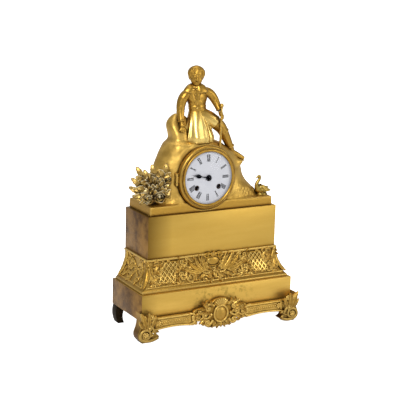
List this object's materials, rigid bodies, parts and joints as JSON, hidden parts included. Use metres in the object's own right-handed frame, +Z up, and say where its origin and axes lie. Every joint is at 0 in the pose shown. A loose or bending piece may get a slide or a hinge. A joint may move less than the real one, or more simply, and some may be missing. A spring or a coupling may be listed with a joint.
{
  "type": "mantel clock",
  "caption": "Gilt figural mantel clock: seated youth on a rock over a round enamel dial, stepped plinth with scrolled feet, spring-driven striking movement inside.",
  "frame": {"origin": "on the floor under the middle of the clock's box", "axes": "+Z up, front of the clock towards -Y, +X to the viewer's right when facing the dial"},
  "size_m": [0.304, 0.124, 0.4334],
  "materials": {
    "gilt_bronze": "worn satin gilding over bronze",
    "pale_gilt_bronze": "pale silvery gilding",
    "green_gilt_bronze": "greenish gilding",
    "dark_bronze": "dark brown patina",
    "brass": "polished movement brass",
    "bell_bronze": "turned bell metal",
    "dark_copper": "blackened dial plate",
    "steel": "polished steel",
    "blued_steel": "dark blued steel",
    "white_enamel": "glossy white enamel with black numerals",
    "clear_glass": "clear domed glass"
  },
  "bodies": {
    "case": {"base_plinth": "gilt_bronze", "frieze": "gilt_bronze", "upper_plinth": "gilt_bronze", "rock_case": "gilt_bronze", "tie_rods": "steel", "left_scroll_foot": "gilt_bronze", "right_scroll_foot": "gilt_bronze", "left_rear_foot": "dark_bronze", "right_rear_foot": "dark_bronze", "apron_cartouche": "gilt_bronze", "left_apron_rail": "gilt_bronze", "right_apron_rail": "gilt_bronze", "figure_torso": "gilt_bronze", "figure_head": "gilt_bronze", "figure_right_arm": "gilt_bronze", "figure_left_arm": "gilt_bronze", "figure_left_leg": "gilt_bronze", "staff": "gilt_bronze", "bouquet_leaves": "pale_gilt_bronze", "bouquet_roses": "pale_gilt_bronze", "swan": "green_gilt_bronze", "bezel_seat": "gilt_bronze", "bezel_hinge_pin": "steel", "dial_plate": "dark_copper", "enamel_dial": "white_enamel", "front_plate": "brass", "back_plate": "brass", "plate_pillars": "brass", "back_cock": "brass", "bell": "bell_bronze", "bell_stand": "steel", "back_ring": "brass"},
    "bezel_door": {"bezel": "gilt_bronze", "bezel_glass": "clear_glass"},
    "rear_door": {"back_door": "brass"},
    "minute_arbor": {"center_wheel": "brass", "cannon_pinion": "steel"},
    "hour_pipe": {"hour_wheel": "brass", "hour_hand": "blued_steel"},
    "minute_work": {"minute_wheel": "brass"},
    "intermediate": {"intermediate_wheel": "brass"},
    "going_barrel": {"time_barrel": "brass", "time_mainspring": "blued_steel"},
    "third": {"third_wheel": "brass"},
    "escape": {"escape_wheel": "brass"},
    "anchor": {"pallets": "steel"},
    "pendulum": {"pendulum_rod": "steel", "pendulum_bob": "brass"},
    "going_winder": {"time_winding_arbor": "steel"},
    "going_click": {"time_click": "steel"},
    "striking_barrel": {"strike_barrel": "brass", "strike_mainspring": "blued_steel"},
    "striking_winder": {"strike_winding_arbor": "steel"},
    "striking_click": {"strike_click": "steel"},
    "striking_second": {"strike_second_wheel": "brass", "count_wheel": "brass"},
    "striking_pin": {"pin_wheel": "brass"},
    "striking_warning": {"warning_wheel": "brass"},
    "striking_fly": {"fly": "brass"},
    "striking_hammer": {"hammer": "steel"}
  },
  "joints": [
    {"name": "bezel_hinge", "type": "hinge", "parent": "case", "child": "bezel_door", "pos_m": [-0.0676, -0.0228, 0.255], "axis": [0, 0, -1], "range_deg": [0, 60]},
    {"name": "back_door_hinge", "type": "hinge", "parent": "case", "child": "rear_door", "pos_m": [0.0375, 0.057, 0.255], "axis": [0, 0, -1], "range_deg": [0, 100]},
    {"name": "minute_arbor_turn", "type": "hinge", "parent": "case", "child": "minute_arbor", "pos_m": [-0.012, 0, 0.255], "axis": [0, 1, 0], "continuous": true},
    {"name": "hour_turn", "type": "hinge", "parent": "case", "child": "hour_pipe", "pos_m": [-0.012, -0.025, 0.255], "axis": [0, 1, 0], "continuous": true},
    {"name": "minute_wheel_turn", "type": "hinge", "parent": "case", "child": "minute_work", "pos_m": [-0.0072, -0.02, 0.2633], "axis": [0, 1, 0], "continuous": true},
    {"name": "intermediate_turn", "type": "hinge", "parent": "case", "child": "intermediate", "pos_m": [0.0019, 0, 0.2536], "axis": [0, 1, 0], "continuous": true},
    {"name": "going_barrel_turn", "type": "hinge", "parent": "case", "child": "going_barrel", "pos_m": [0.0084, 0, 0.2388], "axis": [0, 1, 0], "continuous": true},
    {"name": "third_turn", "type": "hinge", "parent": "case", "child": "third", "pos_m": [-0.009, 0, 0.2672], "axis": [0, 1, 0], "continuous": true},
    {"name": "escape_turn", "type": "hinge", "parent": "case", "child": "escape", "pos_m": [-0.012, 0, 0.277], "axis": [0, 1, 0], "continuous": true},
    {"name": "pendulum_swing", "type": "hinge", "parent": "case", "child": "pendulum", "pos_m": [-0.012, 0.036, 0.2885], "axis": [0, 1, 0], "range_deg": [-3, 3]},
    {"name": "anchor_swing", "type": "hinge", "parent": "case", "child": "anchor", "pos_m": [-0.012, 0, 0.2885], "axis": [0, 1, 0], "range_deg": [-3, 3]},
    {"name": "going_winding", "type": "hinge", "parent": "case", "child": "going_winder", "pos_m": [0.0084, 0, 0.2388], "axis": [0, 1, 0], "continuous": true},
    {"name": "going_click_lift", "type": "hinge", "parent": "case", "child": "going_click", "pos_m": [0.01968, -0.0184, 0.2429], "axis": [0, 1, 0], "range_deg": [0, 12]},
    {"name": "striking_winding", "type": "hinge", "parent": "case", "child": "striking_winder", "pos_m": [-0.0324, 0, 0.2388], "axis": [0, 1, 0], "continuous": true},
    {"name": "striking_click_lift", "type": "hinge", "parent": "case", "child": "striking_click", "pos_m": [-0.04368, -0.0184, 0.2429], "axis": [0, -1, 0], "range_deg": [0, 12]},
    {"name": "pin_wheel_turn", "type": "hinge", "parent": "case", "child": "striking_pin", "pos_m": [-0.0291, 0, 0.2663], "axis": [0, 1, 0], "continuous": true},
    {"name": "striking_second_turn", "type": "hinge", "parent": "case", "child": "striking_second", "pos_m": [-0.0342, 0, 0.2549], "axis": [0, 1, 0], "continuous": true},
    {"name": "striking_barrel_turn", "type": "hinge", "parent": "case", "child": "striking_barrel", "pos_m": [-0.0324, 0, 0.2388], "axis": [0, 1, 0], "continuous": true},
    {"name": "warning_turn", "type": "hinge", "parent": "case", "child": "striking_warning", "pos_m": [-0.0306, 0, 0.2772], "axis": [0, 1, 0], "continuous": true},
    {"name": "fly_turn", "type": "hinge", "parent": "case", "child": "striking_fly", "pos_m": [-0.0231, 0, 0.2799], "axis": [0, 1, 0], "continuous": true},
    {"name": "hammer_lift", "type": "hinge", "parent": "case", "child": "striking_hammer", "pos_m": [-0.0425, 0, 0.269], "axis": [0, 1, 0], "range_deg": [-6, 8]}
  ],
  "couplings": [
    {"joint": "hour_turn", "follows": "minute_arbor_turn", "ratio": 0.083333},
    {"joint": "minute_wheel_turn", "follows": "minute_arbor_turn", "ratio": -0.33333},
    {"joint": "intermediate_turn", "follows": "minute_arbor_turn", "ratio": -0.16667},
    {"joint": "going_barrel_turn", "follows": "minute_arbor_turn", "ratio": 0.020833},
    {"joint": "third_turn", "follows": "minute_arbor_turn", "ratio": -10},
    {"joint": "escape_turn", "follows": "minute_arbor_turn", "ratio": 130},
    {"joint": "anchor_swing", "follows": "pendulum_swing", "ratio": 1},
    {"joint": "striking_second_turn", "follows": "pin_wheel_turn", "ratio": -0.11111},
    {"joint": "striking_barrel_turn", "follows": "pin_wheel_turn", "ratio": 0.013889},
    {"joint": "warning_turn", "follows": "pin_wheel_turn", "ratio": -10},
    {"joint": "fly_turn", "follows": "pin_wheel_turn", "ratio": 90}
  ]
}
